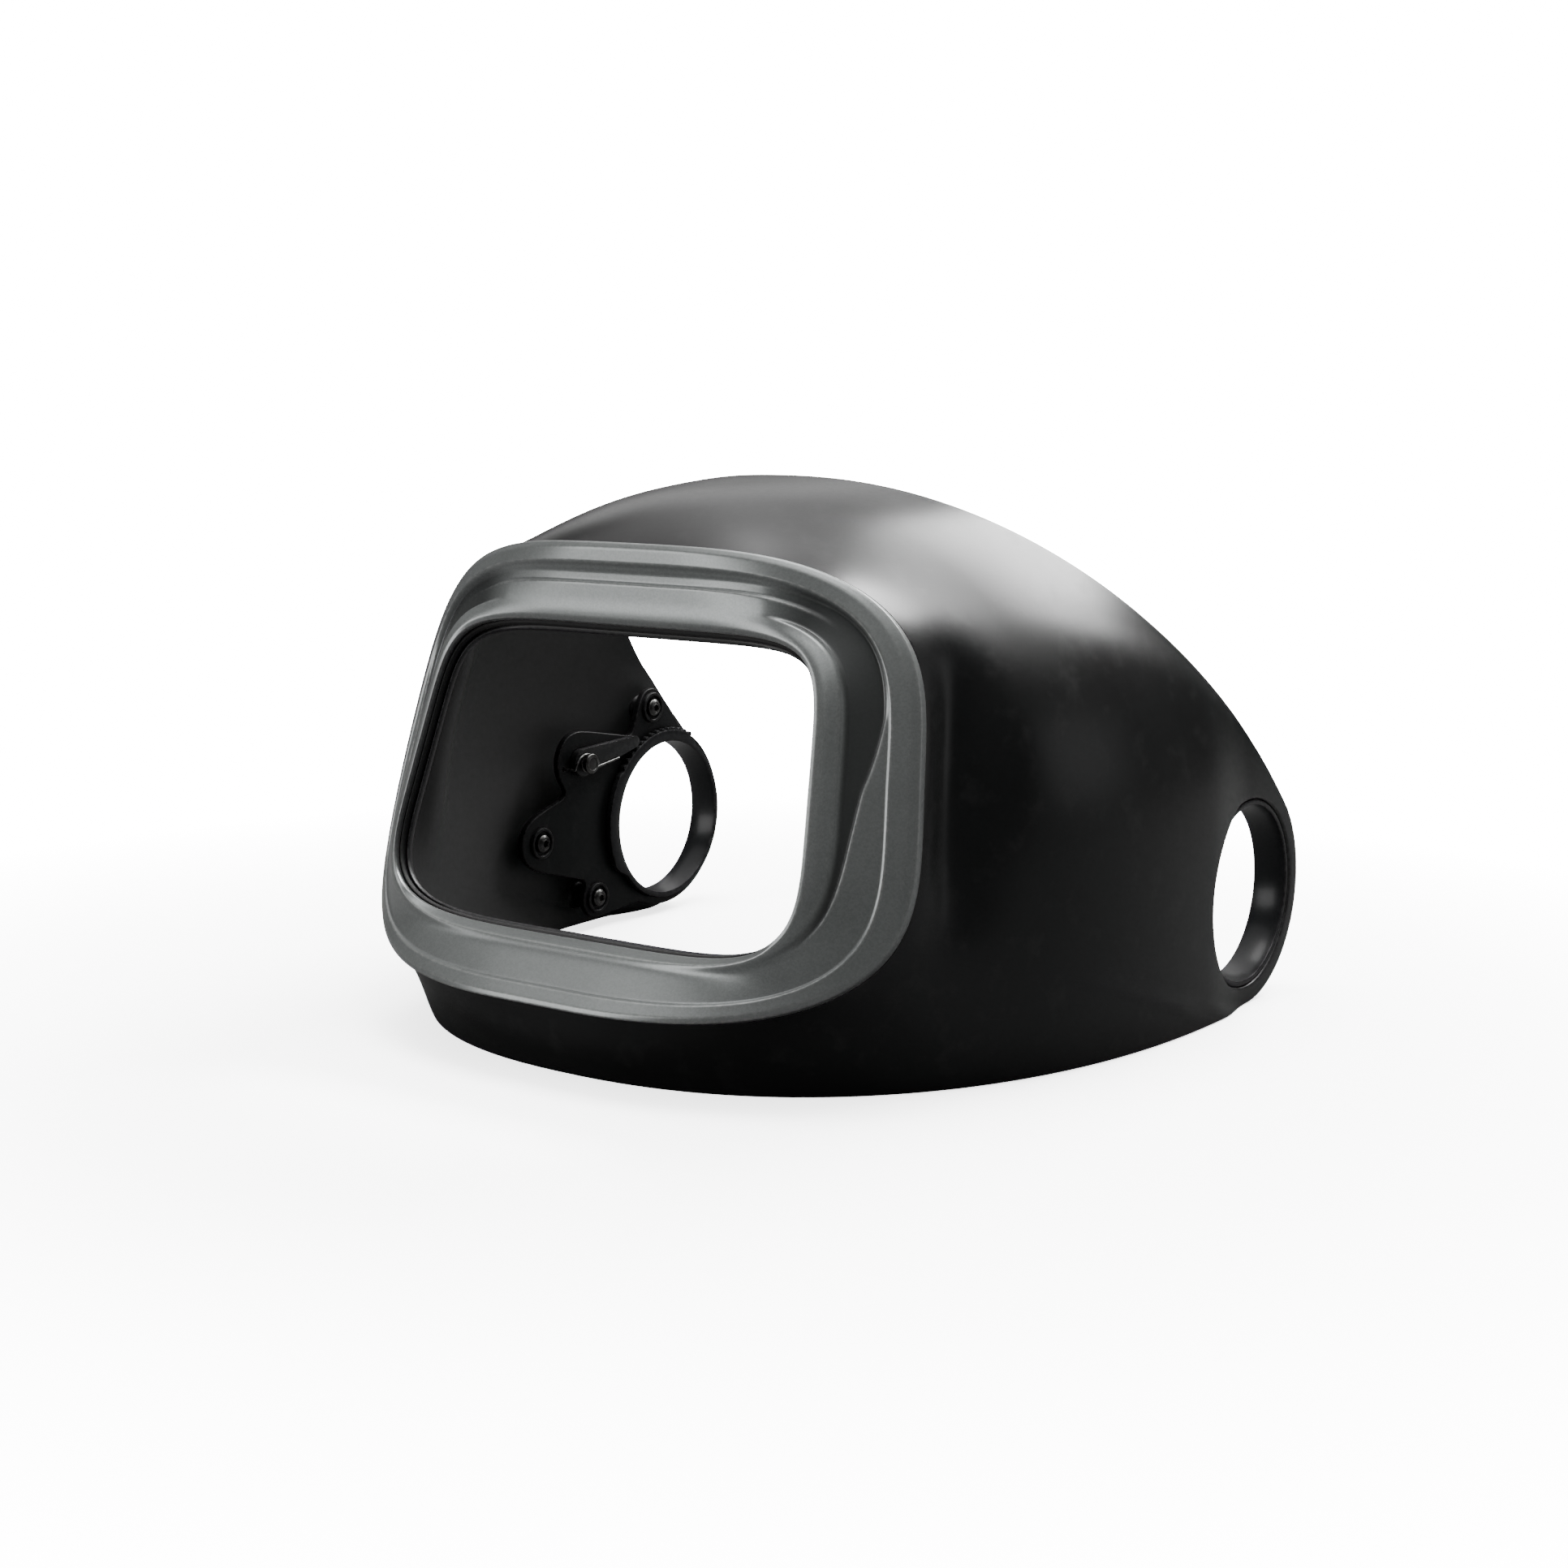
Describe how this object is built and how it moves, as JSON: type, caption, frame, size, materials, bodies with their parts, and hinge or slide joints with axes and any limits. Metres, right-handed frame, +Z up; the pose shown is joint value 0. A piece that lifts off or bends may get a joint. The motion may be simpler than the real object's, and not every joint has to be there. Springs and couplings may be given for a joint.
{
  "type": "respirator outer shield",
  "caption": "Flip-up outer shield of a powered air respirator: black moulded shell, silver window frame and a toothed pivot ring with detent on each side.",
  "frame": {"origin": "middle of the bounding box's bottom face, on the surface that the lower rim stands on", "axes": "+X to the wearer's left, -Y to the front where the window faces, +Z up; the pivot line is parallel to X at y 0.0787, z 0.0342"},
  "size_m": [0.2402, 0.2256, 0.1589],
  "materials": {
    "black_shell": "satin moulded plastic",
    "silver_frame": "satin silver-grey lacquer on moulded plastic",
    "black_bezel": "matt moulded plastic",
    "black_rubber": "matt rubber",
    "black_ring": "semi-gloss moulded plastic",
    "dark_plate": "matt moulded plastic",
    "grey_pawl": "matt moulded plastic",
    "dark_steel": "dark zinc-plated steel"
  },
  "bodies": {
    "shield": {"shell": "black_shell", "window_bezel": "black_bezel", "window_gasket": "black_rubber", "bezel_screw_1": "dark_steel", "bezel_screw_2": "dark_steel", "bezel_screw_3": "dark_steel", "bezel_screw_4": "dark_steel", "detent_plate_left": "dark_plate", "pawl_pin_left": "dark_steel", "pawl_spring_left": "dark_steel", "plate_screw_arm_left": "dark_steel", "plate_screw_top_left": "dark_steel", "plate_screw_low_left": "dark_steel", "detent_plate_right": "dark_plate", "pawl_pin_right": "dark_steel", "pawl_spring_right": "dark_steel", "plate_screw_arm_right": "dark_steel", "plate_screw_top_right": "dark_steel", "plate_screw_low_right": "dark_steel"},
    "frame": {"front_frame": "silver_frame"},
    "ring_left": {"pivot_ring_left": "black_ring", "ring_clip_left": "dark_steel"},
    "pawl_left": {"detent_pawl_left": "grey_pawl"},
    "ring_right": {"pivot_ring_right": "black_ring", "ring_clip_right": "dark_steel"},
    "pawl_right": {"detent_pawl_right": "grey_pawl"}
  },
  "joints": [
    {"name": "frame_lift_off", "type": "slide", "parent": "shield", "child": "frame", "axis": [0, -0.9565, 0.2917], "range_m": [0, 0.045]},
    {"name": "ring_left_turn", "type": "hinge", "parent": "shield", "child": "ring_left", "pos_m": [0.1172, 0.07868, 0.0342], "axis": [1, 0, 0], "range_deg": [0, 62]},
    {"name": "ring_right_turn", "type": "hinge", "parent": "shield", "child": "ring_right", "pos_m": [-0.1172, 0.07868, 0.0342], "axis": [1, 0, 0], "range_deg": [0, 62]},
    {"name": "pawl_left_lift", "type": "hinge", "parent": "shield", "child": "pawl_left", "pos_m": [0.10818, 0.03333, 0.05913], "axis": [1, 0, 0], "range_deg": [0, 8], "stiffness_Nm_per_rad": 0.05, "springref_deg": -5.73, "deforming": ["pawl_spring_left"]},
    {"name": "pawl_right_lift", "type": "hinge", "parent": "shield", "child": "pawl_right", "pos_m": [-0.10818, 0.03333, 0.05913], "axis": [1, 0, 0], "range_deg": [0, 8], "stiffness_Nm_per_rad": 0.05, "springref_deg": -5.73, "deforming": ["pawl_spring_right"]}
  ],
  "couplings": [
    {"joint": "ring_right_turn", "follows": "ring_left_turn", "ratio": 1}
  ]
}
